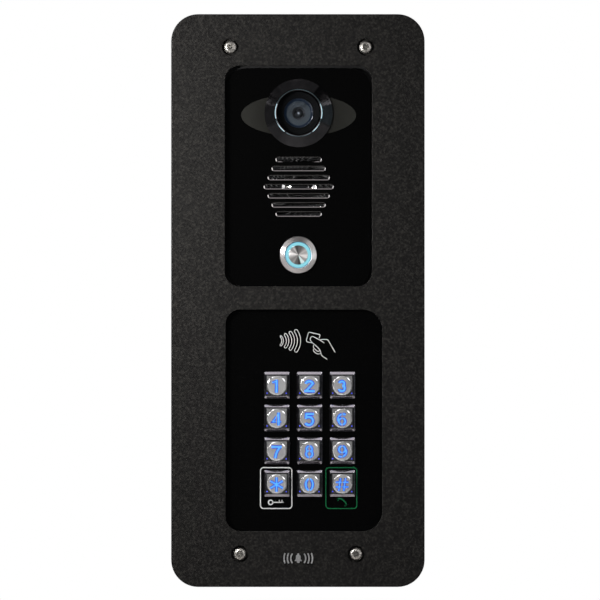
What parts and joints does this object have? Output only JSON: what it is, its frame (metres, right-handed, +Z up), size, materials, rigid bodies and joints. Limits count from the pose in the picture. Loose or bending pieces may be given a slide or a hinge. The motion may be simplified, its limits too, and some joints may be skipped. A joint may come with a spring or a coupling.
{
  "type": "door intercom panel",
  "caption": "Flush-looking wall-mounted door intercom panel in black powder coat with a camera and infra-red window, slotted speaker grille, ringed steel call button and a backlit metal keypad.",
  "frame": {"origin": "centre of the back face, on the wall", "axes": "+X right as seen from in front, +Y into the wall, +Z up"},
  "size_m": [0.15, 0.046, 0.339],
  "materials": {
    "powder_coat": "satin",
    "galvanised_steel": "satin",
    "black_rubber": "matte",
    "stainless_screw": "satin",
    "badge_silver": "satin",
    "fascia_gloss": "gloss",
    "keypad_gloss": "gloss",
    "carrier_plastic": "matte",
    "smoked_window": "gloss",
    "infrared_lens": "gloss",
    "dark_chrome": "polished",
    "cover_glass": "polished",
    "camera_black": "matte",
    "lens_barrel": "satin",
    "lens_glass": "polished",
    "camera_pcb": "satin",
    "speaker_steel": "satin",
    "mylar": "gloss",
    "magnet_steel": "satin",
    "microphone_can": "satin",
    "button_steel": "satin",
    "ring_glow": "satin",
    "spring_steel": "polished",
    "switch_plastic": "satin",
    "green_pcb": "satin",
    "terminal_green": "satin",
    "keypad_chrome": "polished",
    "silicone": "matte",
    "keypad_pcb": "satin",
    "antenna_amber": "satin",
    "key_steel": "satin",
    "key_glow": "satin"
  },
  "bodies": {
    "root": {"back_box": "galvanised_steel", "badge": "badge_silver", "board_screws": "stainless_screw", "cable_grommet": "black_rubber", "call_button_housing": "button_steel", "call_button_nut": "stainless_screw", "call_button_seal": "black_rubber", "call_button_spring": "spring_steel", "call_button_switch": "switch_plastic", "camera_bezel": "dark_chrome", "camera_board": "camera_pcb", "camera_cover_glass": "cover_glass", "camera_holder": "camera_black", "camera_lens_barrel": "lens_barrel", "camera_lens_glass": "lens_glass", "front_gasket": "black_rubber", "front_plate": "powder_coat", "ir_leds": "infrared_lens", "ir_window": "smoked_window", "keypad_board": "keypad_pcb", "keypad_fascia": "keypad_gloss", "keypad_frame": "keypad_chrome", "keypad_mat": "silicone", "main_board": "green_pcb", "microphone": "microphone_can", "module_nuts": "stainless_screw", "rfid_antenna": "antenna_amber", "security_screws": "stainless_screw", "speaker_cone": "mylar", "speaker_frame": "speaker_steel", "speaker_magnet": "magnet_steel", "speech_carrier": "carrier_plastic", "speech_fascia": "fascia_gloss", "terminal_block": "terminal_green"},
    "call_button": {"call_button_cap": "button_steel", "call_button_light_ring": "ring_glow"},
    "key_1_body": {"key_1": "key_steel", "key_1_legend": "key_glow"},
    "key_2_body": {"key_2": "key_steel", "key_2_legend": "key_glow"},
    "key_3_body": {"key_3": "key_steel", "key_3_legend": "key_glow"},
    "key_4_body": {"key_4": "key_steel", "key_4_legend": "key_glow"},
    "key_5_body": {"key_5": "key_steel", "key_5_legend": "key_glow"},
    "key_6_body": {"key_6": "key_steel", "key_6_legend": "key_glow"},
    "key_7_body": {"key_7": "key_steel", "key_7_legend": "key_glow"},
    "key_8_body": {"key_8": "key_steel", "key_8_legend": "key_glow"},
    "key_9_body": {"key_9": "key_steel", "key_9_legend": "key_glow"},
    "key_0_body": {"key_0": "key_steel", "key_0_legend": "key_glow"},
    "key_star_body": {"key_star": "key_steel", "key_star_legend": "key_glow"},
    "key_hash_body": {"key_hash": "key_steel", "key_hash_legend": "key_glow"}
  },
  "joints": [
    {"name": "call_button_press", "type": "slide", "parent": "root", "child": "call_button", "axis": [0, 1, 0], "range_m": [0, 0.002], "stiffness_N_per_m": 1500, "deforming": ["call_button_spring"]},
    {"name": "key_1_press", "type": "slide", "parent": "root", "child": "key_1_body", "axis": [0, 1, 0], "range_m": [0, 0.001], "stiffness_N_per_m": 1500, "deforming": ["keypad_mat"]},
    {"name": "key_2_press", "type": "slide", "parent": "root", "child": "key_2_body", "axis": [0, 1, 0], "range_m": [0, 0.001], "stiffness_N_per_m": 1500, "deforming": ["keypad_mat"]},
    {"name": "key_3_press", "type": "slide", "parent": "root", "child": "key_3_body", "axis": [0, 1, 0], "range_m": [0, 0.001], "stiffness_N_per_m": 1500, "deforming": ["keypad_mat"]},
    {"name": "key_4_press", "type": "slide", "parent": "root", "child": "key_4_body", "axis": [0, 1, 0], "range_m": [0, 0.001], "stiffness_N_per_m": 1500, "deforming": ["keypad_mat"]},
    {"name": "key_5_press", "type": "slide", "parent": "root", "child": "key_5_body", "axis": [0, 1, 0], "range_m": [0, 0.001], "stiffness_N_per_m": 1500, "deforming": ["keypad_mat"]},
    {"name": "key_6_press", "type": "slide", "parent": "root", "child": "key_6_body", "axis": [0, 1, 0], "range_m": [0, 0.001], "stiffness_N_per_m": 1500, "deforming": ["keypad_mat"]},
    {"name": "key_7_press", "type": "slide", "parent": "root", "child": "key_7_body", "axis": [0, 1, 0], "range_m": [0, 0.001], "stiffness_N_per_m": 1500, "deforming": ["keypad_mat"]},
    {"name": "key_8_press", "type": "slide", "parent": "root", "child": "key_8_body", "axis": [0, 1, 0], "range_m": [0, 0.001], "stiffness_N_per_m": 1500, "deforming": ["keypad_mat"]},
    {"name": "key_9_press", "type": "slide", "parent": "root", "child": "key_9_body", "axis": [0, 1, 0], "range_m": [0, 0.001], "stiffness_N_per_m": 1500, "deforming": ["keypad_mat"]},
    {"name": "key_0_press", "type": "slide", "parent": "root", "child": "key_0_body", "axis": [0, 1, 0], "range_m": [0, 0.001], "stiffness_N_per_m": 1500, "deforming": ["keypad_mat"]},
    {"name": "key_star_press", "type": "slide", "parent": "root", "child": "key_star_body", "axis": [0, 1, 0], "range_m": [0, 0.001], "stiffness_N_per_m": 1500, "deforming": ["keypad_mat"]},
    {"name": "key_hash_press", "type": "slide", "parent": "root", "child": "key_hash_body", "axis": [0, 1, 0], "range_m": [0, 0.001], "stiffness_N_per_m": 1500, "deforming": ["keypad_mat"]}
  ]
}
